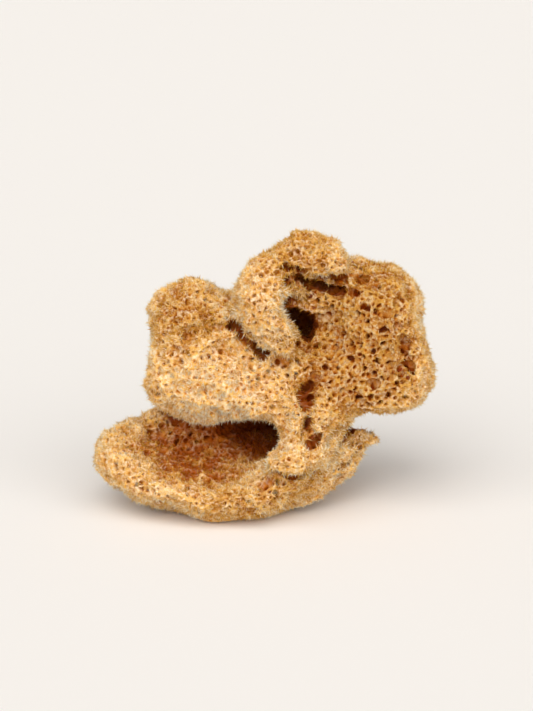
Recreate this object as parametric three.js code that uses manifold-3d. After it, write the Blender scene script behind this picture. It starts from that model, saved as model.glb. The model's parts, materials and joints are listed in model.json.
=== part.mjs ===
// A natural sea sponge: one fibrous body that grew in soft lobes over a boat-shaped foot.
// Millimetres, +Z up. +X runs along the boat, +Y goes to the back of the sponge.
import * as THREE from 'three';
import { ImprovedNoise } from 'three/addons/math/ImprovedNoise.js';
import { mergeVertices } from 'three/addons/utils/BufferGeometryUtils.js';
import { MeshSurfaceSampler } from 'three/addons/math/MeshSurfaceSampler.js';
import Module from 'manifold-3d';

// Driving dimensions
const GRID = 4.6; // spacing of the points at which the sponge's depth is sampled
const CREVICE_GRID = 3; // finer spacing for the folds and holes
const REACH = { low: [-72, -22, -14], high: [72, 72, 116] }; // the space that is sampled
const FLOOR_SIZE = 400;
const JUST_INSIDE = -0.05;

// Soft unevenness all over: the distance from lump to lump and how far the lumps stand out.
const LUMPS = [
  { pitch: 27, height: 3, phase: [2, 9, 5] },
  { pitch: 14, height: 2.4, phase: [7, 3, 11] },
];

const PORE_RADIUS = { least: 1.5, most: 2.6 };
const PORE_SINK = 0.25; // how deep a pore's centre lies, in radii
const PORE_APART = 6;
const PORE_ABOVE = 6; // no pore is lower than this
const PORE_TRIES = 4000;
const PORE_SEED = 11;

const HONEY = { color: 0xd3a15f, roughness: 0.95, metalness: 0 };

// Rounded masses. at is a centre, r the radii along X, Y and Z, turn the degrees about X, Y and Z,
// and soft the width of the blend into what is already there.
const HULL = { at: [-19.5, 18, 17.3], r: [48, 32, 17.3], turn: [15, 3.5, 0] };
const TROUGH = { at: [-17, 11, 41], r: [42, 58, 23], turn: [15, 0, 0], soft: 7 };
const LOBES = {
  core: { at: [10, 34, 60], r: [34, 21, 26], soft: 6 },
  heel: { at: [7, 37, 13.5], r: [20, 17, 15.5], soft: 6 },
  leftShoulder: { at: [-28, 26, 70.3], r: [18.2, 19, 17.4], soft: 6 },
  bridge: { at: [-9, 23, 72], r: [14, 14, 11], soft: 6 },
  foot: { at: [12, -6, 26.4], r: [13.2, 9, 6.3], turn: [0, -3, 0], soft: 2.5 },
  leftCheek: { at: [-19, 18, 49.5], r: [27.4, 20, 16.5], soft: 8 },
  cheekEnd: { at: [-1, 10, 44], r: [15, 13, 8.5], soft: 5 },
  leftBack: { at: [-24, 43, 57], r: [19, 16, 21], soft: 5 },
  underCheek: { at: [-24, 35, 28], r: [24, 11, 9], soft: 6 },
  rightLobe: { at: [42, 27, 66.5], r: [20, 24, 26.3], soft: 5 },
  rightHip: { at: [48, 23, 53], r: [17, 20, 16.5], soft: 5 },
  rightBrow: { at: [41.5, 30, 80.5], r: [12.5, 18, 11.5], soft: 5 },
  rightBelly: { at: [31, 20, 52], r: [18, 17, 15], soft: 5 },
  rightBack: { at: [32, 45, 64], r: [20, 16, 21], soft: 5 },
  backHeel: { at: [22, 47, 36], r: [17, 12, 13], soft: 5 },
  saddle: { at: [22, 32, 84], r: [20, 15, 13], soft: 5 },
};

// Rounded fingers through a few points: X, Y, Z and the radius at each.
const LIMBS = {
  crest: {
    through: [[7, 3, 71, 8], [-3, 9, 83, 10.2], [2, 17, 90, 10.6], [15, 19, 97.5, 9.6], [23, 14, 98.6, 8.2]],
    soft: 5,
  },
  column: { through: [[18, 12, 50, 13.5], [16.5, 7, 38, 12.8], [15, 4, 30, 11.5]], soft: 4 },
  bow: { through: [[8, 18, 16, 14], [28, 22, 21, 9.8], [40, 26, 24, 4]], soft: 5 },
  backPost: { through: [[6, 38, 55, 17], [2, 40, 34, 16], [-4, 40, 18, 15]], soft: 6 },
};

// Hollows with soft edges.
const HOLLOWS = {
  cave: { at: [-3, 20, 29], r: [17, 22, 8], turn: [8, 0, 0], soft: 4 },
  besideCleft: { through: [[18, 9, 81, 4], [21, 7, 72, 5], [22, 5, 66, 3]], soft: 6 },
  backValley: { through: [[2, 58, 96, 5], [3, 64, 70, 9], [-2, 62, 44, 6]], soft: 7 },
  backShelf: { through: [[34, 60, 47, 4], [12, 64, 42, 6], [-26, 62, 38, 5]], soft: 5 },
  rightFold: { through: [[50, 50, 86, 3], [62, 44, 66, 6], [58, 46, 46, 4]], soft: 6 },
  leftFold: { through: [[-34, 38, 86, 3], [-48, 37, 68, 6], [-44, 40, 48, 4]], soft: 6 },
};

// Sharp folds and holes that run deep into the sponge.
const CREVICES = {
  slitUnderCrest: { at: [20.5, 16, 88.8], r: [14.5, 16, 3], turn: [0, 18, 0] },
  cleft: { through: [[12, 17, 86, 3], [13.5, 18, 78, 4.5], [14.5, 17, 71, 4.2], [16, 14, 67.5, 2.6]] },
  cleftDepth: { through: [[14.5, 15, 70.5, 4.6], [15, 38, 68, 3.2]] },
  earHole: { through: [[-0.8, 9, 62.5, 2.8], [1, 30, 61, 2.3]] },
  earFold: { through: [[-13, 9, 77, 1.8], [-9, 8, 74, 2.6], [-5.5, 9, 69.5, 3], [-1.5, 11, 63.5, 3.2]] },
  columnWindow: { at: [16.8, -2, 48.5], r: [3.8, 7, 4.8] },
  columnHole: { at: [17.1, -4, 34], r: [3, 11, 5.4] },
  columnDot: { at: [19.3, -1, 55.5], r: [2.2, 8, 2.4] },
  footHole: { at: [13, -10, 19.8], r: [7, 8, 2.3] },
  hipFold: { through: [[51, 6, 72, 2.2], [52.5, 6.5, 66, 2.6], [53.8, 7, 58, 3], [54, 7, 50, 2.4]] },
  hipHole: { at: [29.9, 2, 47.9], r: [2.6, 5, 3.6] },
  bellySlit: { at: [39.9, 3.5, 52.5], r: [5.5, 4.5, 1.9], turn: [0, 20, 0] },
  backHole: { through: [[24, 66, 60, 3.6], [20, 46, 58, 2.8]] },
  backSlit: { through: [[-30, 61, 66, 2], [-24, 60, 60, 3], [-14, 58, 58, 2]] },
};

// Where the sponge is open-pored: a middle, how far round it, and how many large pores.
const PORE_ZONES = {
  rightFace: { at: [40, 6, 64], within: 22, count: 16 },
  boatFloor: { at: [-25, 12, 20], within: 30, count: 10 },
  boatFront: { at: [10, -6, 14], within: 22, count: 9 },
  shoulder: { at: [-24, 14, 76], within: 15, count: 5 },
  crest: { at: [15, 12, 102], within: 16, count: 5 },
  back: { at: [5, 60, 60], within: 45, count: 14 },
  rightSide: { at: [62, 28, 62], within: 25, count: 6 },
  leftSide: { at: [-45, 30, 55], within: 25, count: 6 },
};

function ellipsoid({ at, r, turn = [0, 0, 0] }) {
  const angles = turn.map(THREE.MathUtils.degToRad);
  const unturn = new THREE.Matrix4().makeRotationFromEuler(new THREE.Euler(...angles)).transpose();
  const p = new THREE.Vector3();
  return (x, y, z) => {
    p.set(x - at[0], y - at[1], z - at[2]).applyMatrix4(unturn);
    const near = Math.hypot(p.x / r[0], p.y / r[1], p.z / r[2]);
    const slope = Math.hypot(p.x / r[0] ** 2, p.y / r[1] ** 2, p.z / r[2] ** 2);
    return (near * (near - 1)) / (slope || 1);
  };
}

function limb({ through }) {
  return (x, y, z) => {
    let least = Infinity;
    for (let i = 1; i < through.length; i++) {
      const [ax, ay, az, ar] = through[i - 1];
      const [bx, by, bz, br] = through[i];
      const [ex, ey, ez] = [bx - ax, by - ay, bz - az];
      const along = (x - ax) * ex + (y - ay) * ey + (z - az) * ez;
      const t = THREE.MathUtils.clamp(along / (ex * ex + ey * ey + ez * ez), 0, 1);
      const away = Math.hypot(x - ax - t * ex, y - ay - t * ey, z - az - t * ez);
      least = Math.min(least, away - THREE.MathUtils.lerp(ar, br, t));
    }
    return least;
  };
}

function shapeOf(piece) {
  return { depth: piece.through ? limb(piece) : ellipsoid(piece), soft: piece.soft };
}

// Smallest of two depths, rounded where they meet.
function blend(a, b, soft) {
  const h = Math.max(soft - Math.abs(a - b), 0) / soft;
  return Math.min(a, b) - (h * h * soft) / 4;
}

const hull = shapeOf(HULL);
const trough = shapeOf(TROUGH);
const grown = [...Object.values(LOBES), ...Object.values(LIMBS)].map(shapeOf);
const hollows = Object.values(HOLLOWS).map(shapeOf);
const noise = new ImprovedNoise();

function lumps(x, y, z) {
  let sum = 0;
  for (const { pitch, height, phase } of LUMPS) {
    sum += height * noise.noise(x / pitch + phase[0], y / pitch + phase[1], z / pitch + phase[2]);
  }
  return sum;
}

// How far a point is outside the sponge: negative inside it.
function depth(x, y, z) {
  let body = -blend(-hull.depth(x, y, z), trough.depth(x, y, z), trough.soft);
  for (const piece of grown) body = blend(body, piece.depth(x, y, z), piece.soft);
  for (const hollow of hollows) body = -blend(-body, hollow.depth(x, y, z), hollow.soft);
  return body + lumps(x, y, z);
}

function* gridPoints(first, last) {
  for (let k = first; k < last[2]; k++)
    for (let j = first; j < last[1]; j++)
      for (let i = first; i < last[0]; i++) yield [i, j, k];
}

const AXES = [[1, 0, 0], [0, 1, 0], [0, 0, 1]];
const SQUARE = [[0, 0], [1, 0], [1, 1], [0, 1]];
const CUBE = [0, 1].flatMap((c) => [0, 1].flatMap((b) => [0, 1].map((a) => [a, b, c])));
const CUBE_EDGES = CUBE.flatMap((corner) =>
  AXES.filter((axis, m) => corner[m] === 0).map((axis) => [corner, corner.map((v, m) => v + axis[m])]));

// The four grid points of a square at p, spanned by the steps u and v.
function square(p, u, v) {
  return SQUARE.map(([a, b]) => p.map((c, m) => c + a * u[m] + b * v[m]));
}

// Fills a corner of each grid square whose corners are in and out by turns, so no edge has four faces.
function closeCheckers(field, at, last) {
  for (let filled = true; filled; ) {
    filled = false;
    for (const p of gridPoints(1, last)) {
      for (let axis = 0; axis < AXES.length; axis++) {
        const corners = square(p, AXES[axis], AXES[(axis + 1) % AXES.length]).map(at);
        const [a, b, c, d] = corners.map((corner) => field[corner] < 0);
        if (a !== c || b !== d || a === b) continue;
        field[corners[a ? 1 : 0]] = JUST_INSIDE;
        filled = true;
      }
    }
  }
}

// One vertex in each grid cell that the surface crosses, and one quad for each crossed grid edge.
function skin(depthAt, { low, high }, step) {
  const n = low.map((v, m) => Math.ceil((high[m] - v) / step) + 1);
  const last = n.map((count) => count - 1);
  const at = ([i, j, k]) => i + n[0] * (j + n[1] * k);
  const field = new Float32Array(n[0] * n[1] * n[2]);
  for (const p of gridPoints(0, n)) field[at(p)] = depthAt(...p.map((c, m) => low[m] + c * step));
  closeCheckers(field, at, last);

  const vertexOf = new Map();
  const points = [];
  function vertex(cell) {
    const key = at(cell);
    if (!vertexOf.has(key)) {
      const value = (corner) => field[at(cell.map((c, m) => c + corner[m]))];
      const sum = new THREE.Vector3();
      let crossings = 0;
      for (const [a, b] of CUBE_EDGES) {
        if (value(a) < 0 === value(b) < 0) continue;
        const t = value(a) / (value(a) - value(b));
        sum.add(new THREE.Vector3(...a).lerp(new THREE.Vector3(...b), t));
        crossings++;
      }
      vertexOf.set(key, points.length / 3);
      sum.divideScalar(crossings).add(new THREE.Vector3(...cell));
      points.push(...sum.multiplyScalar(step).add(new THREE.Vector3(...low)));
    }
    return vertexOf.get(key);
  }

  const index = [];
  for (const p of gridPoints(1, last)) {
    for (let axis = 0; axis < AXES.length; axis++) {
      const here = field[at(p)] < 0;
      const next = field[at(p.map((c, m) => c + AXES[axis][m]))] < 0;
      if (here === next) continue;
      const [u, v] = [1, 2].map((turn) => AXES[(axis + turn) % AXES.length]);
      const ring = square(p.map((c, m) => c - u[m] - v[m]), u, v).map(vertex);
      if (next) ring.reverse();
      index.push(ring[0], ring[1], ring[2], ring[0], ring[2], ring[3]);
    }
  }
  const geometry = new THREE.BufferGeometry();
  geometry.setAttribute('position', new THREE.Float32BufferAttribute(points, 3));
  geometry.setIndex(index);
  return geometry;
}

const wasm = await Module();
wasm.setup();

function solidOf(geometry) {
  const bare = new THREE.BufferGeometry().setIndex(geometry.getIndex());
  bare.setAttribute('position', geometry.getAttribute('position'));
  const merged = mergeVertices(bare);
  return new wasm.Manifold(new wasm.Mesh({
    numProp: 3,
    vertProperties: new Float32Array(merged.getAttribute('position').array),
    triVerts: new Uint32Array(merged.getIndex().array),
  }));
}

function geometryOf(solid) {
  const { vertProperties, triVerts } = solid.getMesh();
  const geometry = new THREE.BufferGeometry();
  geometry.setAttribute('position', new THREE.BufferAttribute(vertProperties, 3));
  geometry.setIndex(new THREE.BufferAttribute(triVerts, 1));
  return geometry;
}

// The space that a fold or hole takes out of the sponge.
function crevice(shape) {
  const ends = shape.through ?? [[...shape.at, Math.max(...shape.r)]];
  const margin = CREVICE_GRID * 2;
  const low = [0, 1, 2].map((m) => Math.min(...ends.map((end) => end[m] - end[3])) - margin);
  const high = [0, 1, 2].map((m) => Math.max(...ends.map((end) => end[m] + end[3])) + margin);
  return solidOf(skin(shapeOf(shape).depth, { low, high }, CREVICE_GRID));
}

// Open pores, the largest of the sponge's holes, scattered over its zones but not the sole.
function pores(surface) {
  let seed = PORE_SEED;
  const random = () => THREE.MathUtils.seededRandom(seed++);
  const sampler = new MeshSurfaceSampler(new THREE.Mesh(surface)).setRandomGenerator(random).build();
  const made = [];
  const at = new THREE.Vector3();
  const out = new THREE.Vector3();
  for (const zone of Object.values(PORE_ZONES)) {
    const middle = new THREE.Vector3(...zone.at);
    for (let left = zone.count, tries = 0; left > 0 && tries < PORE_TRIES; tries++) {
      sampler.sample(at, out);
      const crowded = made.some((pore) => pore.at.distanceTo(at) < PORE_APART);
      if (at.z < PORE_ABOVE || at.distanceTo(middle) > zone.within || crowded) continue;
      const radius = THREE.MathUtils.lerp(PORE_RADIUS.least, PORE_RADIUS.most, random() ** 2);
      made.push({ at: at.clone(), out: out.clone(), radius });
      left--;
    }
  }
  return made;
}

const floor = new THREE.BoxGeometry(FLOOR_SIZE, FLOOR_SIZE, FLOOR_SIZE).translate(0, 0, -FLOOR_SIZE / 2);
let solid = solidOf(skin(depth, REACH, GRID)).subtract(solidOf(floor));
for (const shape of Object.values(CREVICES)) solid = solid.subtract(crevice(shape));
for (const { at, out, radius } of pores(geometryOf(solid))) {
  const centre = at.addScaledVector(out, -PORE_SINK * radius);
  const pit = new THREE.OctahedronGeometry(radius).translate(centre.x, centre.y, centre.z);
  solid = solid.subtract(solidOf(pit));
}

// The origin is under the middle of the sponge, on the floor.
const geometry = geometryOf(solid);
geometry.computeBoundingBox();
const middle = geometry.boundingBox.getCenter(new THREE.Vector3());
geometry.translate(-middle.x, -middle.y, 0);
geometry.computeVertexNormals();

const sponge = new THREE.Mesh(geometry, new THREE.MeshStandardMaterial(HONEY));
sponge.name = 'sponge';
const group = new THREE.Group();
group.add(sponge);
export default group;
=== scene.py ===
"""A natural sea sponge: a porous body, the fibres that stand on it, and a studio around it."""

import json
import math
from functools import reduce

import bpy
from bpy.props import FloatProperty, FloatVectorProperty, IntProperty, PointerProperty
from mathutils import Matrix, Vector

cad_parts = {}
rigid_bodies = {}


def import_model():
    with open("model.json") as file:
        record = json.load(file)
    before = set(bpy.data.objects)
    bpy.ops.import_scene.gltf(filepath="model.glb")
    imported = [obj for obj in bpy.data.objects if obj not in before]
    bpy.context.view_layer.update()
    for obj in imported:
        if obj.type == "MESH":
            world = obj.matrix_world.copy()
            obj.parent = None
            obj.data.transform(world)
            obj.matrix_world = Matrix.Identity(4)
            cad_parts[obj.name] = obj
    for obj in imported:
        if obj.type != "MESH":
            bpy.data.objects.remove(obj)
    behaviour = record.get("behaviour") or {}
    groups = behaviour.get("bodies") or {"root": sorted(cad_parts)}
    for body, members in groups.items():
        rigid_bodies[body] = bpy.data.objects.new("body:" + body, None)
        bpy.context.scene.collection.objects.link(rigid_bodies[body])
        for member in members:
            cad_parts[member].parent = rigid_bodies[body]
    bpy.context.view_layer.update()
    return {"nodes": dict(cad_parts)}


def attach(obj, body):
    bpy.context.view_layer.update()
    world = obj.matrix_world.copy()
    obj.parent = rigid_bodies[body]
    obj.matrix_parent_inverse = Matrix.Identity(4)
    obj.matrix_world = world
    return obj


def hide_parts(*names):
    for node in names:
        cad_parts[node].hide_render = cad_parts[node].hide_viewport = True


bl_info = {
    "name": "Natural Sea Sponge",
    "version": (1, 0, 0),
    "blender": (4, 5, 0),
    "location": "3D View > Sidebar > Sponge",
    "description": "Grows a sea sponge's pores and fibres on its solid, and sets up a studio",
    "category": "Mesh",
}

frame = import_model()
SOLID = "sponge"
BODY = "root"
MM = 0.001
MOST_TRIANGLES = 199000

# Steps of the meshes that lead up to the body's, in millimetres.
ROUGH_STEP = 1.0
FOLDED_STEP = 0.6
HULL_STEP = 1.5

# Folds and walls, in millimetres.
FOLD_REACH = 5  # folds narrower than twice this are told from the outer skin
THICKEST_WALL = 30  # past this a wall counts as thick
THICK_ROOM = 10  # how far a thick wall may be pushed in
THIN_SHARE = 0.35  # how much of its thickness any other wall may be pushed in
GROOVE_Y = 0.15  # how much a distance along Y counts beside a groove

# Pitch of the patterns on the surface, in millimetres.
PATCHES = 11
LUMPS = 5
TUFTS = 2.4
CRUMBS = 1.0
FLECKS = 0.9

# Height of the tufts, lumps and crumbs, in millimetres. The cheek's lumps are twice as high.
TUFT_HEIGHT = 1.2
LUMP_HEIGHT = 2.4
CRUMB_HEIGHT = 0.9

# How edges wander: pitch and reach, in millimetres.
PORE_SWAY = (1.3, 1.1)
BASIN_SWAY = (6, 14)
LIP_SWAYS = ((2.0, 3), (6, 3))
SKIN_SWAY = (7, 4.5)
EDGE_SWAY = (2.8, 2.0)

# Small pores, or holes, and open pores: the least radius, what chance adds to it, and what places add, in
# millimetres.
HOLE_RADIUS = 0.22
HOLE_CHANCE = 0.32
HOLE_BY_PLACE = {"patchy": 0.16, "cheek": -0.2}
PORE_RADIUS = 0.15
PORE_CHANCE = 0.55
PORE_CHANCE_BY_PLACE = {"open_face": 0.35, "cheek": -0.2}
PORE_BY_PLACE = {"patchy": 0.15, "open_face": 0.2}

# Where a dimple starts and ends, from its middle, and a hole or a pore, from its rim, in millimetres.
DIMPLE_WALL = (1.1, 0.25)
HOLE_WALL = (0.15, -0.15)
PORE_WALL = (0.15, -0.2)

# Between which depths a place counts as a cut to mend, or as inside a fold, and between which Y the
# mending sets in, in millimetres.
CUT_DEPTH = (0.6, 1.6)
INNER_DEPTH = (0.6, 3.0)
MEND_FRONT = (4, -1)

# Between which heights over the floor folds, pores and fibres set in, in millimetres.
FOLDS_FROM = (0.5, 5)
PORES_FROM = (0.3, 3)
FIBRES_FROM = (1.2, 2.4)

# Fibres: how much thinner they stand by place, and their length as a share of the full one: the least,
# what chance adds, what it adds to a few, and what places add.
THINNED = {"inner": 0.4, "basin": 0.5, "ragged": 0.4}
LEAST_LENGTH = 0.5
LENGTH_CHANCE = 0.6
FEW_LONGER = 1.6
LENGTH_BY_PLACE = {"cheek": 0.15, "right_face": -0.35, "ragged": 0.25, "lips": 0.4, "inner": -0.6}
FLOOR_SHARE = 0.7  # how much of the way to the floor a fibre may reach

# A fibre's tone, amber at 0 and cream at 1: the middle, what chance adds or takes, and what places add.
TONE = 0.72
TONE_CHANCE = 0.27
# The floor of the boat, the cave and the folds take tone away as painted shade. The lumps' tone is partly
# mottling, partly painted shade in their hollows. The cheek's is partly paler fibre, partly painted light on its
# downward lip.
TONE_BY_PLACE = {"cheek": 0.35, "basin": -0.9, "cave": -0.8, "inner": -0.65, "tan": -0.65, "lumps": 1.6}

# What darkens the floor of the boat, painted shade under the upper mass, and the tan places.
BASIN_SHADE = (0.62, 0.49, 0.34, 1)
TAN = (0.68, 0.60, 0.48, 1)

# The studio: colours of its light, where the lamps stand, the floor's width in metres, and what the
# camera looks at, in millimetres.
LAMP = (1.0, 0.985, 0.96, 1.0)
ROOM = (1.0, 0.985, 0.965, 1)
WALL_STRENGTH = 1.03
KEY_PLACE = (-0.5, -0.75, 0.95)
FILL_PLACE = (0.35, -1.0, 0.55)
FILL_WIDTH = math.radians(90)
FLOOR_WIDTH = 30
TARGET = (1.25, -0.3, 58.3)
SENSOR_HEIGHT = 36

# Where the parts of the sponge are: a middle and a radius, in millimetres.
CHEEK = ((-18, -30, 44), 26)
RIGHT_FACE = ((34, -15, 63), 32)
# The floor of the boat and the cave are darkened in the colours of body and fibres, as painted shade.
BOAT_FLOOR = ((-24, -6, 25), 32)
CAVE = ((2, 4, 29), 20)
BOAT_BACK_RIM = ((-36, 6, 30), 15)
BOW_TIP = ((40, 1, 24), 14)
BOW_FACE = ((30, -8, 25), 18)
BOAT_FRONT = ((12, -32, 10), 20)
BOAT_RIM = 33  # height at which the floor of the boat ends
OPEN_FACES = (RIGHT_FACE, BOW_FACE, BOAT_FRONT)
RAGGED_EDGES = (BOW_TIP, BOAT_BACK_RIM)

# Where the walls are tan rather than pale: a middle, a radius, and how much.
TAN_PLACES = (
    (RIGHT_FACE, 1.3),
    (((-30, -12, 78), 21), 0.55),
    (((12, -12, 101), 19), 0.55),
    (((42, -6, 86), 20), 0.7),
    (((-10, -34, 8), 20), 0.4),
    (((16, -30, 12), 17), 0.4),
)

# Cuts of the solid that are closed and cut anew, with ragged lips: a middle and a radius, in millimetres.
MENDED = (((20, -9, 88), 19), ((17, -22, 46), 17), ((-5, -13, 68), 14))

# Places that bulge: a middle, a radius, and how far they move, in millimetres.
BULGES = (
    # lower lip of the cheek
    {"at": (-24, -33, 37), "within": 18, "by": (0, -6, -2)},
    {"at": (-5, -33, 37), "within": 14, "by": (0, -5, -1.5)},
    # top of the shoulder
    {"at": (-25, -3, 88), "within": 14, "by": (1, 0, 2.5)},
    # tip of the bow
    {"at": (42, 0, 24), "within": 14, "by": (1, -2, 1.5)},
    # front edge of the keel, lifted off the floor
    {"at": (-35, -32, 2), "within": 20, "by": (0, 2, 4)},
    {"at": (-10, -38, 0), "within": 20, "by": (0, 1.5, 3)},
    {"at": (14, -32, 1), "within": 20, "by": (0, 3, 5.5)},
)

# Grooves, and ridges with a depth below zero: points in millimetres, half their width, and their depth.
FOLDS = (
    # slit under the crest
    {"through": ((8.0, -15.5, 96.4), (11, -14.5, 94.6), (14.7, -13.5, 92.6)), "half": 1.3, "depth": 4.0},
    {"through": ((9.8, -14, 91.3), (12.5, -12.5, 89.6), (15, -11.5, 88)), "half": 2.1, "depth": 7.0},
    {"through": ((15, -11, 88), (20, -11, 86.9), (26, -11, 86.2), (34.3, -11.5, 85.4)),
     "half": 1.0, "depth": 6.0},
    {"through": ((20.5, -12, 90), (24, -12, 89.8), (29.5, -12, 89)), "half": 1.5, "depth": 3.0},
    {"through": ((35.3, -12, 90.2), (38.3, -12, 90)), "half": 1.3, "depth": 3.0},
    # ridge below the slit
    {"through": ((14, -2, 78.5), (23, -7, 80.5), (33, -11, 81)), "half": 4.5, "depth": -2.0},
    # cleft beside the nose
    {"through": ((10, -2, 81), (12.5, 4, 75), (15, 11, 67.5)), "half": 5.0, "depth": 6.0},
    # window and holes of the column
    {"through": ((15.7, -24, 49.7), (15.0, -24.5, 45.2)), "half": 3.8, "depth": 4.6},
    {"through": ((19.7, -22, 56.8), (19.0, -22.5, 54.4), (17.2, -23.5, 51.2)), "half": 1.4, "depth": 4.5},
    {"through": ((14.5, -26, 42.8), (17, -26, 42.3)), "half": 1.4, "depth": 4.0},
    {"through": ((16.4, -26, 39.8), (16.6, -26.5, 36.2)), "half": 2.3, "depth": 9.0},
    # crease and hole of the ear
    {"through": ((-11.5, -15, 74), (-8.6, -16, 70.5), (-5.6, -16, 67.1), (-2.6, -15.5, 64.5)),
     "half": 1.5, "depth": 5.0},
    {"through": ((-1.4, -15, 63.4), (0.7, -15, 62.2)), "half": 1.9, "depth": 9.0},
    # valley between shoulder and cheek, and the ridge below it
    {"through": ((-29, -20, 70), (-22, -20, 72.5), (-13, -16, 76)), "half": 3.5, "depth": 2.0},
    {"through": ((-28, -22, 65.5), (-19, -22, 68), (-12, -18, 70.5)), "half": 3.2, "depth": -1.6},
    # under the flap of the foot
    {"through": ((2.5, -33, 22.5), (8, -35, 20.5), (13.5, -35, 19.5), (20, -28, 20.5)),
     "half": 2.0, "depth": 3.0},
    # fold and ridge of the right hip
    {"through": ((51.5, -17, 69), (52.5, -18, 63), (52.5, -19, 56), (53.5, -19, 50)),
     "half": 1.8, "depth": 1.8},
    {"through": ((46, -19, 75), (48, -19, 69), (48.5, -19, 61)), "half": 3.0, "depth": -1.8},
    # crevice between the column and the bow
    {"through": ((23.5, -17, 32), (26.5, -15, 33), (29.5, -13, 35)), "half": 2.4, "depth": 3.0},
    # gaps between the tufts of the bow
    {"through": ((26, -12, 23), (29.5, -10, 27), (33, -8, 31)), "half": 1.8, "depth": 3.5},
    {"through": ((31, -14, 17), (35, -10, 21), (38, -6, 25)), "half": 1.4, "depth": 2.5},
)

# The sponge is made in tracts, each with open sides: low and high X and Z, in millimetres.
FAR = 1000
TRACTS = {
    "boat_left": {"x": (-FAR, -6), "z": (-FAR, 34)},
    "boat_right": {"x": (-6, FAR), "z": (-FAR, 34)},
    "left_lobe": {"x": (-FAR, -4), "z": (34, FAR)},
    "column": {"x": (-4, 26), "z": (34, 70)},
    "crest": {"x": (-4, 26), "z": (70, FAR)},
    "hip": {"x": (26, FAR), "z": (34, 66)},
    "brow": {"x": (26, FAR), "z": (66, FAR)},
}


class Wire:
    """A socket in a node tree. Arithmetic on it adds Math nodes."""

    def __init__(self, socket):
        self.socket = socket

    def math(self, operation, *terms):
        node = self.socket.id_data.nodes.new("ShaderNodeMath")
        node.operation = operation
        for slot, term in zip(node.inputs, terms):
            join(slot, term)
        return Wire(node.outputs[0])

    def other(self, name):
        """Another output of the same node."""
        return Wire(pick(self.socket.node.outputs, name))

    def __add__(self, other):
        return self.math("ADD", self, other)

    def __sub__(self, other):
        return self.math("SUBTRACT", self, other)

    def __rsub__(self, other):
        return self.math("SUBTRACT", other, self)

    def __mul__(self, other):
        return self.math("MULTIPLY", self, other)

    def __pow__(self, other):
        return self.math("POWER", self, other)

    def __gt__(self, other):
        return self.math("GREATER_THAN", self, other)

    def __le__(self, other):
        return 1 - self.math("GREATER_THAN", self, other)

    def most(self, other):
        return self.math("MAXIMUM", self, other)

    def least(self, other):
        return self.math("MINIMUM", self, other)

    __radd__ = __add__
    __rmul__ = __mul__


def join(socket, value):
    """Links a wire to a socket, or sets the socket's own value."""
    if isinstance(value, Wire):
        socket.id_data.links.new(value.socket, socket)
    else:
        socket.default_value = value


def pick(sockets, name):
    """The socket in use that has this name, or this place in the list."""
    if isinstance(name, int):
        return sockets[name]
    return next(s for s in sockets if s.name == name and s.enabled)


class Board:
    """A node tree, with one method that adds any node, and short names for the nodes used most."""

    def __init__(self, tree):
        self.tree = tree

    def add(self, kind, settings=None, sockets=None, out=0):
        """Adds a node, applies its settings, then its socket values and links, and returns an output."""
        node = self.tree.nodes.new(kind)
        for name, value in (settings or {}).items():
            setattr(node, name, value)
        for name, value in (sockets or {}).items():
            join(pick(node.inputs, name), value)
        return Wire(pick(node.outputs, out)) if node.outputs else None

    def vector(self, operation, *terms, out=0):
        sockets = dict(enumerate(terms))
        if operation == "SCALE":
            sockets = {0: terms[0], "Scale": terms[1]}
        return self.add("ShaderNodeVectorMath", {"operation": operation}, sockets, out)

    def ease(self, value, low, high):
        """0 at low and 1 at high, with a soft start and end."""
        settings = {"interpolation_type": "SMOOTHSTEP"}
        sockets = {"Value": value, "From Min": low, "From Max": high}
        return self.add("ShaderNodeMapRange", settings, sockets)

    def ease_mm(self, value, low, high):
        """As ease, for a length, with low and high in millimetres."""
        return self.ease(value, low * MM, high * MM)

    def noise(self, place, pitch, out=0):
        """Soft blotches from 0 to 1, this many millimetres apart."""
        sockets = {"Vector": place, "Scale": 1 / (pitch * MM), "Detail": 2.0}
        return self.add("ShaderNodeTexNoise", {}, sockets, out)

    def sway(self, place, pitch, reach):
        """A vector that wanders from place to place, up to about half the reach either way, in millimetres."""
        wander = self.vector("SUBTRACT", self.noise(place, pitch, out="Color"), (0.5, 0.5, 0.5))
        return self.vector("SCALE", wander, reach * MM)

    def near(self, place, spot, soft=0.5):
        """1 in the middle of a spot of the sponge, fading to 0 at its edge."""
        middle, radius = spot
        away = self.vector("DISTANCE", place, tuple(c * MM for c in middle), out="Value")
        return self.ease_mm(away, radius, radius * (1 - soft))

    def near_any(self, place, spots, soft=0.5):
        return reduce(Wire.most, [self.near(place, spot, soft) for spot in spots])

    def split(self, vector):
        """The X, Y and Z of a vector."""
        x = self.add("ShaderNodeSeparateXYZ", {}, {0: vector})
        return x, x.other("Y"), x.other("Z")

    def height(self, place):
        return self.split(place)[2]

    def mix(self, factor, a, b, blend="MIX"):
        settings = {"data_type": "RGBA", "blend_type": blend, "clamp_factor": True}
        return self.add("ShaderNodeMix", settings, {"Factor": factor, "A": a, "B": b}, "Result")

    def read(self, name, kind="FLOAT"):
        """An attribute of the mesh, in a geometry board."""
        return self.add("GeometryNodeInputNamedAttribute", {"data_type": kind}, {"Name": name})

    def store(self, mesh, name, value, kind="FLOAT", domain="POINT"):
        """The mesh with one more attribute, in a geometry board."""
        settings = {"data_type": kind, "domain": domain}
        return self.add(
            "GeometryNodeStoreNamedAttribute", settings, {"Geometry": mesh, "Name": name, "Value": value})

    def closest(self, thing, out):
        """The closest place on another object's skin, or the distance to it."""
        skin = self.add("GeometryNodeObjectInfo", {}, {"Object": thing}, "Geometry")
        return self.add("GeometryNodeProximity", {"target_element": "FACES"}, {0: skin}, out)

    def chance(self, low, high, seed, kind="FLOAT"):
        """A random value at each point."""
        sockets = {"Min": low, "Max": high, "Seed": seed}
        return self.add("FunctionNodeRandomValue", {"data_type": kind}, sockets, "Value")


def weigh(start, weights, masks):
    """A start, plus each named mask times its weight."""
    return sum((masks[name] * weight for name, weight in weights.items()), start)


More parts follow.
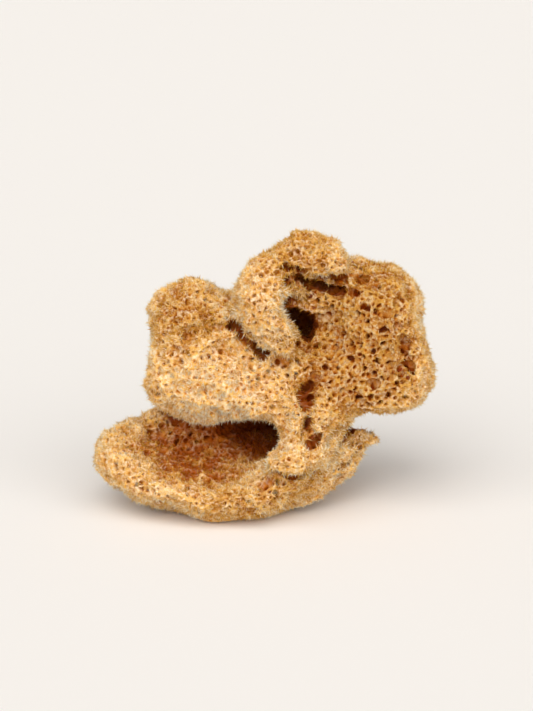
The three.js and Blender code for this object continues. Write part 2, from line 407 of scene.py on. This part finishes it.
def geometry_board(name):
    """A geometry node tree with one mesh in and one out: its board, and the mesh that comes in."""
    tree = bpy.data.node_groups.new(name, "GeometryNodeTree")
    for way in ("INPUT", "OUTPUT"):
        tree.interface.new_socket("Geometry", in_out=way, socket_type="NodeSocketGeometry")
    board = Board(tree)
    return board, board.add("NodeGroupInput")


def only(thing):
    """Selects one object and makes it active."""
    bpy.ops.object.select_all(action="DESELECT")
    thing.select_set(True)
    bpy.context.view_layer.objects.active = thing


def modify(thing, kind, **settings):
    """Adds a modifier with these settings and applies it."""
    only(thing)
    bpy.ops.object.modifier_add(type=kind)
    modifier = thing.modifiers[-1]
    for name, value in settings.items():
        setattr(modifier, name, value)
    bpy.ops.object.modifier_apply(modifier=modifier.name)


def remesh(thing, step, smoothing):
    """Gives an object an even mesh, smoothed this many times."""
    modify(thing, "REMESH", mode="VOXEL", voxel_size=step * MM)
    if smoothing:
        modify(thing, "SMOOTH", factor=0.5, iterations=smoothing)


def run_board(thing, board, mesh):
    """Ends a geometry board with this mesh and applies it to an object."""
    board.add("NodeGroupOutput", {}, {0: mesh})
    modify(thing, "NODES", node_group=board.tree)
    bpy.data.node_groups.remove(board.tree)


def move_skin(thing, board, mesh, offset):
    """Ends a geometry board by moving each point, and applies it to an object."""
    run_board(thing, board, board.add("GeometryNodeSetPosition", {}, {"Geometry": mesh, "Offset": offset}))


def copy_of(thing, name):
    """A copy with its own mesh, and nothing else of the first object's."""
    twin = bpy.data.objects.new(name, thing.data.copy())
    bpy.context.collection.objects.link(twin)
    return twin


def finish_piece(thing, material):
    """Gives a piece its material and smooth faces, stops if it has too many triangles, and puts it on the body.
    """
    thing.data.materials.clear()
    thing.data.materials.append(material)
    only(thing)
    bpy.ops.object.shade_smooth()
    thing.data.calc_loop_triangles()
    triangles = len(thing.data.loop_triangles)
    if triangles > MOST_TRIANGLES:
        raise RuntimeError(f"{thing.name} has {triangles} triangles")
    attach(thing, BODY)


class SpongeBody(bpy.types.PropertyGroup):
    """Sizes of the body's relief, in millimetres."""

    mesh_step: FloatProperty(
        name="Mesh step", description="Spacing of the body's mesh, in mm", default=0.37, min=0.2, max=2.0)
    inset: FloatProperty(
        name="Inset", description="How far the walls lie under the fibre tips, in mm", default=0.7)
    net_gap: FloatProperty(
        name="Net gap", description="Least distance between small pores, in mm", default=2.15)
    net_depth: FloatProperty(
        name="Net depth", description="Depth of the small pores, in mm", default=1.5)
    pore_gap: FloatProperty(
        name="Pore gap", description="Least distance between open pores, in mm", default=3.8)
    pore_depth: FloatProperty(
        name="Pore depth", description="Depth of the open pores, in mm", default=3.0)
    seed: IntProperty(name="Seed", description="Scatter of the pores", default=3)


class SpongeFibres(bpy.types.PropertyGroup):
    """Sizes of the fibres."""

    per_mm2: FloatProperty(name="Density", description="Fibres on a square millimetre of wall", default=5.5)
    length: FloatProperty(name="Length", description="Length of a fibre, in mm", default=0.95)
    width: FloatProperty(name="Width", description="Half a fibre's width at its root, in mm", default=0.085)
    tuft: FloatProperty(name="Tufts", description="How far fibres lean together", default=0.6)
    spread: FloatProperty(name="Spread", description="How far fibres lean away from their pore", default=0.7)
    tilt: FloatProperty(name="Tilt", description="How far each fibre leans its own way", default=0.35)
    seed: IntProperty(name="Seed", description="Scatter of the fibres", default=4)


class SpongeColours(bpy.types.PropertyGroup):
    """Colours of the fibre, from the pores to the tips."""

    # Deep is painted shade: it stands in for the shade in the pores, the folds and the cave, and at the fibres'
    # roots.
    deep: FloatVectorProperty(
        name="Deep", description="Colour deep in the pores", subtype="COLOR", size=4,
        default=(0.16, 0.012, 0.0006, 1), min=0, max=1)
    # Amber is the walls' own darker tone, and also painted shade in the dimples, the folds and at the fibres'
    # roots.
    amber: FloatVectorProperty(
        name="Amber", description="Colour of the pore walls", subtype="COLOR", size=4,
        default=(0.44, 0.10, 0.002, 1), min=0, max=1)
    honey: FloatVectorProperty(
        name="Honey", description="Colour of the surface", subtype="COLOR", size=4,
        default=(0.82, 0.46, 0.06, 1), min=0, max=1)
    # Cream is the pale fibre, and on the raised tufts partly painted light.
    cream: FloatVectorProperty(
        name="Cream", description="Colour of the fibre tips", subtype="COLOR", size=4,
        default=(0.96, 0.90, 0.72, 1), min=0, max=1)


class SpongeStudio(bpy.types.PropertyGroup):
    """Floor, light and camera."""

    floor: FloatVectorProperty(
        name="Floor", description="Colour of the floor", subtype="COLOR", size=4,
        default=(0.90, 0.87, 0.84, 1), min=0, max=1)
    key: FloatProperty(name="Key light", description="Strength of the light from the left", default=1.55)
    softness: FloatProperty(
        name="Softness", description="Width of the light from the left, as seen from the sponge",
        subtype="ANGLE", default=math.radians(60))
    fill: FloatProperty(name="Fill light", description="Strength of the light from the front", default=2.8)
    sky: FloatProperty(name="Room light", description="Strength of the light all round", default=0.24)
    lens: FloatProperty(name="Lens", description="Focal length", unit="CAMERA", default=100.0)
    distance: FloatProperty(
        name="Distance", description="From the camera to the sponge", unit="LENGTH", default=0.7467)
    height_angle: FloatProperty(
        name="Height angle", description="How far the camera looks down", subtype="ANGLE",
        default=math.radians(15))


def scatter(board, mesh, gap, seed, place):
    """Pores over the skin: the way to a place from the nearest one, its length, and that one's own number."""
    points = board.add(
        "GeometryNodeDistributePointsOnFaces", {"distribute_method": "POISSON"},
        {"Mesh": mesh, "Distance Min": gap * MM, "Density Max": 4 / (gap * MM) ** 2, "Seed": seed}, "Points")
    points = board.store(points, "share", board.chance(0.0, 1.0, seed + 1))
    sample = {0: points, "Sample Position": place}
    middle = board.add("GeometryNodeProximity", {"target_element": "POINTS"}, sample, "Position")
    nearest = board.add("GeometryNodeSampleNearest", {"domain": "POINT"}, sample)
    share = board.add(
        "GeometryNodeSampleIndex", {"data_type": "FLOAT", "domain": "POINT"},
        {"Geometry": points, "Value": board.read("share"), "Index": nearest}, "Value")
    return board.vector("SUBTRACT", place, middle), middle.other("Distance"), share


def pattern(board, mesh, place, body):
    """How deep a place is in dimples, small pores and open pores, from 0 to 1, and the way off its pore."""
    masks = {
        "open_face": board.near_any(place, OPEN_FACES),
        "cheek": board.near(place, CHEEK),
        "patchy": board.ease(board.noise(place, PATCHES), 0.38, 0.62),
    }
    spot = board.vector("ADD", place, board.sway(place, *PORE_SWAY))
    way, away, share = scatter(board, mesh, body.net_gap, body.seed, spot)
    dimple = board.ease_mm(away, *DIMPLE_WALL)
    radius = weigh(HOLE_RADIUS + HOLE_CHANCE * share, HOLE_BY_PLACE, masks) * MM
    hole = board.ease_mm(away - radius, *HOLE_WALL)
    _, away, share = scatter(board, mesh, body.pore_gap, body.seed + 5, spot)
    chance = weigh(PORE_CHANCE, PORE_CHANCE_BY_PLACE, masks)
    radius = weigh(PORE_RADIUS + chance * share, PORE_BY_PLACE, masks) * MM
    pore = board.ease_mm(away - radius, *PORE_WALL)
    return dimple, hole, pore, way


def basin(board, place):
    """Where painted shade falls on the floor of the boat, under the upper mass: 1 there, 0 elsewhere, in
    patches.
    """
    wander = board.vector("ADD", place, board.sway(place, *BASIN_SWAY))
    patchy = 0.65 + 0.35 * board.ease(board.noise(place, 4), 0.4, 0.6)
    low = board.ease_mm(board.height(place), BOAT_RIM, BOAT_RIM - 5)
    return board.near(wander, BOAT_FLOOR, 0.7) * low * patchy


def fold_height(board, place, spread=1.15):
    """How far grooves push the skin in, in millimetres. Their lips wander, and they reach far along Y."""
    for sway in LIP_SWAYS:
        place = board.vector("ADD", place, board.sway(place, *sway))
    place = board.vector("MULTIPLY", place, (1, GROOVE_Y, 1))
    total = 0
    for fold in FOLDS:
        points = [Vector((x, GROOVE_Y * y, z)) * MM for x, y, z in fold["through"]]
        aways = []
        for a, b in zip(points, points[1:]):
            run = b - a
            reach = board.vector("SUBTRACT", place, tuple(a))
            along = board.vector("DOT_PRODUCT", reach, tuple(run / run.length_squared), out="Value")
            along = along.most(0).least(1)
            aways.append(board.vector("DISTANCE", reach, board.vector("SCALE", tuple(run), along), out="Value"))
        nearest = reduce(Wire.least, aways)
        total = total + board.ease_mm(nearest, spread * fold["half"], 0.1 * fold["half"]) * fold["depth"]
    return total


def room_behind(board, mesh, place, normal):
    """How far the skin may be pushed in, in millimetres: a share of the wall behind it."""
    inward = board.vector("SCALE", normal, -1)
    start = board.vector("ADD", place, board.vector("SCALE", inward, 0.1 * MM))
    ray = {"Source Position": start, "Ray Direction": inward, "Ray Length": THICKEST_WALL * MM}
    thickness = board.add("GeometryNodeRaycast", {}, {"Target Geometry": mesh, **ray}, "Hit Distance")
    return thickness * (THIN_SHARE / MM) + (1 - thickness.other("Is Hit")) * THICK_ROOM


class SPONGE_OT_grow_body(bpy.types.Operator):
    """Grows the sponge's body on its solid, with a net of small pores and open pores"""

    bl_idname = "sponge.grow_body"
    bl_label = "Grow Body"

    def execute(self, context):
        body = context.scene.sponge_body
        whole = copy_of(frame["nodes"][SOLID], "sponge_whole")
        only(whole)
        bpy.ops.object.mode_set(mode="EDIT")
        bpy.ops.mesh.select_all(action="SELECT")
        bpy.ops.mesh.remove_doubles(threshold=0.001 * MM)
        bpy.ops.object.mode_set(mode="OBJECT")
        remesh(whole, ROUGH_STEP, smoothing=8)
        hull = self.close_folds(whole)
        self.mend(whole, hull)
        bpy.data.objects.remove(hull)
        remesh(whole, FOLDED_STEP, smoothing=6)
        self.fold(whole)
        hull = self.close_folds(whole)
        remesh(whole, body.mesh_step, smoothing=0)
        self.open_pores(whole, hull, body)
        bpy.data.objects.remove(hull)

        material = body_material(context.scene.sponge_colours)
        for name, tract in TRACTS.items():
            thing = copy_of(whole, "body_" + name)
            self.keep_tract(thing, tract)
            finish_piece(thing, material)
            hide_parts(SOLID)
        bpy.data.objects.remove(whole)
        return {"FINISHED"}

    def close_folds(self, whole):
        """The sponge with its narrow folds filled up, to tell how deep in a fold a place is."""
        hull = copy_of(whole, "sponge_hull")
        for swell in (FOLD_REACH, -FOLD_REACH):
            remesh(hull, HULL_STEP, smoothing=3)
            modify(hull, "DISPLACE", strength=swell * MM, mid_level=0)
        return hull

    def mend(self, whole, hull):
        """Closes some of the solid's cuts, by moving their walls out to the closed skin, on the front only."""
        board, mesh = geometry_board("mend")
        place = board.add("GeometryNodeInputPosition")
        way = board.vector("SUBTRACT", board.closest(hull, "Position"), place)
        cut = board.ease_mm(board.vector("LENGTH", way, out="Value"), *CUT_DEPTH)
        front = board.ease_mm(board.split(place)[1], *MEND_FRONT)
        share = board.near_any(place, MENDED, 0.3) * cut * front
        move_skin(whole, board, mesh, board.vector("SCALE", way, share))

    def fold(self, whole):
        """Presses the grooves in, makes every edge wander, and bulges the skin."""
        board, mesh = geometry_board("folds")
        place = board.add("GeometryNodeInputPosition")
        normal = board.add("GeometryNodeInputNormal")
        front = board.ease(board.split(normal)[1], 0.25, -0.25)
        depth = (fold_height(board, place) * front).least(room_behind(board, mesh, place, normal))
        moved = board.vector("SCALE", normal, depth * -MM)
        moved = board.vector("ADD", moved, board.sway(place, *SKIN_SWAY))
        ragged = 1 + 1.5 * board.near_any(place, RAGGED_EDGES)
        moved = board.vector("ADD", moved, board.vector("SCALE", board.sway(place, *EDGE_SWAY), ragged))
        moved = board.vector("SCALE", moved, board.ease_mm(board.height(place), *FOLDS_FROM))
        for bulge in BULGES:
            swell = board.near(place, (bulge["at"], bulge["within"]), 1)
            pushed = board.vector("SCALE", tuple(c * MM for c in bulge["by"]), swell)
            moved = board.vector("ADD", moved, pushed)
        move_skin(whole, board, mesh, moved)

    def open_pores(self, whole, hull, body):
        """Raises tufts, sinks the pores, and stores what the fibres and the colours follow."""
        board, mesh = geometry_board("pores")
        place = board.add("GeometryNodeInputPosition")
        normal = board.add("GeometryNodeInputNormal")
        dimple, hole, pore, way = pattern(board, mesh, place, body)
        room = room_behind(board, mesh, place, normal)
        tufts = (board.noise(place, TUFTS) - 0.5) * TUFT_HEIGHT
        lumps = (board.noise(place, LUMPS) - 0.5) * (LUMP_HEIGHT + LUMP_HEIGHT * board.near(place, CHEEK))
        crumbs = (board.noise(place, CRUMBS) - 0.5) * CRUMB_HEIGHT
        pit = ((dimple * 0.35 + hole * 0.65) * body.net_depth).most(pore * body.pore_depth).least(room)
        off_floor = board.ease_mm(board.height(place), *PORES_FROM)
        moved = board.vector("SCALE", normal, (tufts + lumps + crumbs - body.inset - pit) * off_floor * MM)
        # How deep in a fold a place is; the colours of body and fibres darken with it as painted shade.
        inner = board.ease_mm(board.closest(hull, "Distance"), *INNER_DEPTH)
        tan = sum(board.near(place, spot, 0.7) * share for spot, share in TAN_PLACES).least(1)
        kept = {"inner": inner, "dimple": dimple, "hole": hole, "pore": pore, "tan": tan}
        for name, value in kept.items():
            mesh = board.store(mesh, name, value)
        mesh = board.store(mesh, "rest", place, "FLOAT_VECTOR")
        mesh = board.store(mesh, "way", board.vector("SCALE", way, 1 / MM), "FLOAT_VECTOR")
        move_skin(whole, board, mesh, moved)

    def keep_tract(self, thing, tract):
        """Cuts a copy of the whole sponge down to one tract."""
        board, mesh = geometry_board("tract")
        x, _, z = board.split(board.read("rest", "FLOAT_VECTOR"))
        inside = 1
        for place, (low, high) in ((x, tract["x"]), (z, tract["z"])):
            inside = (place > low * MM) * (place <= high * MM) * inside
        kept = {"Geometry": mesh, "Selection": inside}
        run_board(thing, board, board.add("GeometryNodeSeparateGeometry", {"domain": "FACE"}, kept))


class SPONGE_OT_grow_fibres(bpy.types.Operator):
    """Grows fibres on the walls between the pores, one piece for each tract of the sponge"""

    bl_idname = "sponge.grow_fibres"
    bl_label = "Grow Fibres"

    def execute(self, context):
        fibres = context.scene.sponge_fibres
        material = fibre_material(context.scene.sponge_colours)
        for number, name in enumerate(TRACTS):
            thing = copy_of(bpy.data.objects["body_" + name], "fibres_" + name)
            board, mesh = geometry_board("fibres")
            run_board(thing, board, self.grow(board, mesh, fibres, fibres.seed + 10 * number))
            finish_piece(thing, material)
        return {"FINISHED"}

    def grow(self, board, mesh, fibres, seed):
        """Fibres on the open walls of a tract, with their tone and the place along them in a UV map."""
        place = board.add("GeometryNodeInputPosition")
        height = board.height(place)
        masks = self.masks(board, place)
        in_pore = board.read("dimple") * 0.5 + board.read("hole").most(board.read("pore"))
        density = board.ease(in_pore, 0.6, 0.1) * board.ease_mm(height, *FIBRES_FROM)
        for name, share in THINNED.items():
            density = density * (1 - share * masks[name])
        points = board.add(
            "GeometryNodeDistributePointsOnFaces", {"distribute_method": "RANDOM"},
            {"Mesh": mesh, "Density": density * (fibres.per_mm2 / MM**2), "Seed": seed}, "Points")
        lean = self.lean(board, place, points.other("Normal"), fibres, seed + 1)
        length = LEAST_LENGTH + board.chance(0.0, LENGTH_CHANCE, seed + 2)
        length = length + FEW_LONGER * board.chance(0.0, 1.0, seed + 3) ** 6
        length = length * weigh(1, LENGTH_BY_PLACE, masks) * (fibres.length * MM)
        placed = board.add(
            "GeometryNodeInstanceOnPoints", {},
            {"Points": points, "Instance": self.fibre(board, fibres),
             "Rotation": board.add("FunctionNodeAlignRotationToVector", {"axis": "Z"}, {"Vector": lean}),
             "Scale": length.least(height * FLOOR_SHARE)})
        tone = weigh(TONE + board.chance(-TONE_CHANCE, TONE_CHANCE, seed + 4), TONE_BY_PLACE, masks)
        placed = board.store(placed, "tone", tone, domain="INSTANCE")
        real = board.add("GeometryNodeRealizeInstances", {}, {"Geometry": placed})
        tone = (board.read("tone") + board.read("side")).most(0.02).least(0.98)
        chart = board.add("ShaderNodeCombineXYZ", {}, {"X": tone, "Y": 0.02 + 0.96 * board.read("along")})
        return board.store(real, "OFBake", chart, "FLOAT2", "CORNER")

    def masks(self, board, place):
        """What tells one place of the sponge from another, for the fibres that stand there."""
        return {
            "cheek": board.near(place, CHEEK),
            "right_face": board.near(place, RIGHT_FACE),
            "cave": board.near(place, CAVE),
            "basin": basin(board, place),
            "ragged": board.near_any(place, RAGGED_EDGES),
            "lips": board.ease(fold_height(board, place, 2.2), 0, 0.8),
            "inner": board.read("inner"),
            "tan": board.read("tan"),
            "lumps": board.noise(board.read("rest", "FLOAT_VECTOR"), LUMPS) - 0.5,
        }

    def lean(self, board, place, upright, fibres, seed):
        """Where a fibre points: off the wall, with its tuft, away from its pore, and a little its own way."""
        lean = board.vector("ADD", board.sway(place, TUFTS, fibres.tuft / MM), upright)
        off_pore = board.vector("SCALE", board.read("way", "FLOAT_VECTOR"), fibres.spread)
        own = board.chance((-fibres.tilt,) * 3, (fibres.tilt,) * 3, seed, "FLOAT_VECTOR")
        return board.vector("ADD", board.vector("ADD", lean, off_pore), own)

    def fibre(self, board, fibres):
        """A slender three-sided spike, one unit long."""
        width = fibres.width / fibres.length
        spike = board.add(
            "GeometryNodeMeshCone", {"fill_type": "NONE"},
            {"Vertices": 3, "Side Segments": 1, "Radius Top": 0.0, "Radius Bottom": width, "Depth": 1.0})
        x, y, along = board.split(board.add("GeometryNodeInputPosition"))
        spike = board.store(spike, "along", along)
        return board.store(spike, "side", (0.5 * x + y) * (0.01 / width))


def matt_material(name):
    """A new material: the material, its board, and the socket of its colour."""
    material = bpy.data.materials.new(name)
    material.use_nodes = True
    board = Board(material.node_tree)
    board.tree.nodes.clear()
    surface = board.add("ShaderNodeBsdfPrincipled", {}, {"Specular IOR Level": 0, "Roughness": 0.9})
    board.add("ShaderNodeOutputMaterial", {}, {"Surface": surface})
    return material, board, surface.socket.node.inputs["Base Color"]


def body_material(colours):
    """Honey walls with cream flecks, partly painted light on the raised tufts; amber dimples and deep brown in
    the pores, the folds and the cave, and on the floor of the boat, all painted shade.
    """
    material, board, colour = matt_material("sponge_net")
    place = board.add("ShaderNodeAttribute", {"attribute_name": "rest"}, {}, "Vector")
    inner, dimple, hole, pore, tan = [
        board.add("ShaderNodeAttribute", {"attribute_name": name}, {}, "Fac")
        for name in ("inner", "dimple", "hole", "pore", "tan")]
    # The mottle follows the lumps' noise: partly the walls' own patches, partly painted shade in the lumps'
    # hollows.
    mottle = board.ease(board.noise(place, LUMPS), 0.35, 0.65)
    brown = basin(board, place)
    wall = board.mix(0.5 + 0.4 * mottle - 0.75 * brown, colours.amber, colours.honey)
    # Cream on the raised flecks and tufts: partly the pale fibre, partly painted light on the tuft tops.
    raised = board.ease(board.noise(place, FLECKS) + board.noise(place, TUFTS), 0.9, 1.2)
    wall = board.mix((0.1 + 0.5 * raised) * (1 - 0.7 * brown) * (1 - dimple), wall, colours.cream)
    # Painted shade on the floor of the boat, under the upper mass.
    wall = board.mix(brown * 0.6, wall, BASIN_SHADE, "MULTIPLY")
    wall = board.mix(tan, wall, TAN, "MULTIPLY")
    # Painted shade in the dimples, deeper on the floor of the boat.
    shade = board.mix(dimple * 0.6, wall, colours.amber)
    shade = board.mix(dimple * brown * 0.4, shade, colours.deep)
    streaks = board.ease(board.noise(place, TUFTS), 0.4, 0.6)
    # Painted shade inside the folds, streaked between amber and deep brown.
    shade = board.mix(inner * 0.85, shade, board.mix(0.5 * streaks, colours.amber, colours.deep))
    # Painted shade: holes, open pores, the insides of folds and the cave turn towards deep brown, the holes
    # darker on the open faces.
    dark = hole * (0.6 + 0.3 * board.near_any(place, OPEN_FACES))
    for depth in (board.ease(pore, 0.2, 0.8) * 0.9, board.ease(inner, 0.7, 1.25), board.near(place, CAVE) * 0.9):
        dark = dark.most(depth)
    join(colour, board.mix(dark, shade, colours.deep))
    return material


def fibre_material(colours):
    """Amber to honey roots, darkened as painted shade among the fibres, and tips up to cream, by each fibre's
    tone.
    """
    material, board, colour = matt_material("sponge_fibres")
    tone, along, _ = board.split(board.add("ShaderNodeUVMap", {"uv_map": "OFBake"}, {}, "UV"))
    # Painted shade at the fibres' roots, and at the tips of low-toned fibres.
    shaded = board.mix(0.4, colours.amber, colours.deep)
    tip = board.mix(board.ease(tone, -0.05, 0.6), shaded, colours.honey)
    tip = board.mix(board.ease(tone, 0.4, 0.92), tip, colours.cream)
    root = board.mix(board.ease(tone, 0.0, 0.95), shaded, colours.honey)
    join(colour, board.mix(board.ease(along, 0.0, 0.7), root, tip))
    return material


class SPONGE_OT_set_studio(bpy.types.Operator):
    """Sets up the floor, the light and the camera"""

    bl_idname = "sponge.set_studio"
    bl_label = "Set Up Studio"

    def execute(self, context):
        studio = context.scene.sponge_studio
        self.floor(studio)
        self.light(context, studio)
        self.camera(context, studio)
        return {"FINISHED"}

    def floor(self, studio):
        bpy.ops.object.select_all(action="DESELECT")
        bpy.ops.mesh.primitive_plane_add(size=FLOOR_WIDTH, location=(0, 0, 0))
        floor = bpy.context.object
        floor.name = "floor"
        material, _, colour = matt_material("pale_paper")
        join(colour, studio.floor)
        floor.data.materials.append(material)

    def light(self, context, studio):
        """Two wide lamps and a pale room, which the camera sees in the floor's colour."""
        self.sun("key", KEY_PLACE, studio.key, studio.softness)
        self.sun("fill", FILL_PLACE, studio.fill, FILL_WIDTH)
        world = bpy.data.worlds.new("soft_room")
        world.use_nodes = True
        board = Board(world.node_tree)
        board.tree.nodes.clear()
        room = board.add("ShaderNodeBackground", {}, {"Color": ROOM, "Strength": studio.sky})
        tint = [paper * lamp for paper, lamp in zip(studio.floor, LAMP)]
        wall = board.add("ShaderNodeBackground", {}, {"Color": tint, "Strength": WALL_STRENGTH})
        seen = board.add("ShaderNodeLightPath", {}, {}, "Is Camera Ray")
        light = board.add("ShaderNodeMixShader", {}, {0: seen, 1: room, 2: wall})
        board.add("ShaderNodeOutputWorld", {}, {"Surface": light})
        context.scene.world = world

    def sun(self, name, place, strength, width):
        bpy.ops.object.light_add(type="SUN", location=place)
        lamp = bpy.context.object
        lamp.name = name
        lamp.data.energy = strength
        lamp.data.angle = width
        lamp.data.color = LAMP[:3]
        lamp.rotation_euler = (-lamp.location).to_track_quat("-Z", "Y").to_euler()

    def camera(self, context, studio):
        target = Vector(TARGET) * MM
        angle = studio.height_angle
        place = target + studio.distance * Vector((0, -math.cos(angle), math.sin(angle)))
        bpy.ops.object.camera_add(location=place)
        camera = bpy.context.object
        camera.name = "camera"
        camera.rotation_euler = (target - place).to_track_quat("-Z", "Y").to_euler()
        camera.data.sensor_fit = "VERTICAL"
        camera.data.sensor_height = SENSOR_HEIGHT
        camera.data.lens = studio.lens
        context.scene.camera = camera
        context.scene.view_settings.view_transform = "Standard"


GROUPS = {
    "sponge_body": SpongeBody,
    "sponge_fibres": SpongeFibres,
    "sponge_colours": SpongeColours,
    "sponge_studio": SpongeStudio,
}
OPERATORS = (SPONGE_OT_grow_body, SPONGE_OT_grow_fibres, SPONGE_OT_set_studio)


class SPONGE_PT_panel(bpy.types.Panel):
    """The sponge's settings and steps"""

    bl_label = "Sea Sponge"
    bl_idname = "SPONGE_PT_panel"
    bl_space_type = "VIEW_3D"
    bl_region_type = "UI"
    bl_category = "Sponge"

    def draw(self, context):
        for name in GROUPS:
            group = getattr(context.scene, name)
            column = self.layout.column()
            column.label(text=group.__doc__)
            for setting in group.__annotations__:
                column.prop(group, setting)
        for operator in OPERATORS:
            self.layout.operator(operator.bl_idname)


CLASSES = (*GROUPS.values(), *OPERATORS, SPONGE_PT_panel)


def register():
    for kind in CLASSES:
        bpy.utils.register_class(kind)
    for name, group in GROUPS.items():
        setattr(bpy.types.Scene, name, PointerProperty(type=group))


def unregister():
    for name in GROUPS:
        delattr(bpy.types.Scene, name)
    for kind in reversed(CLASSES):
        bpy.utils.unregister_class(kind)


def main():
    register()
    bpy.ops.sponge.grow_body()
    bpy.ops.sponge.grow_fibres()
    bpy.ops.sponge.set_studio()


if __name__ == "__main__":
    main()
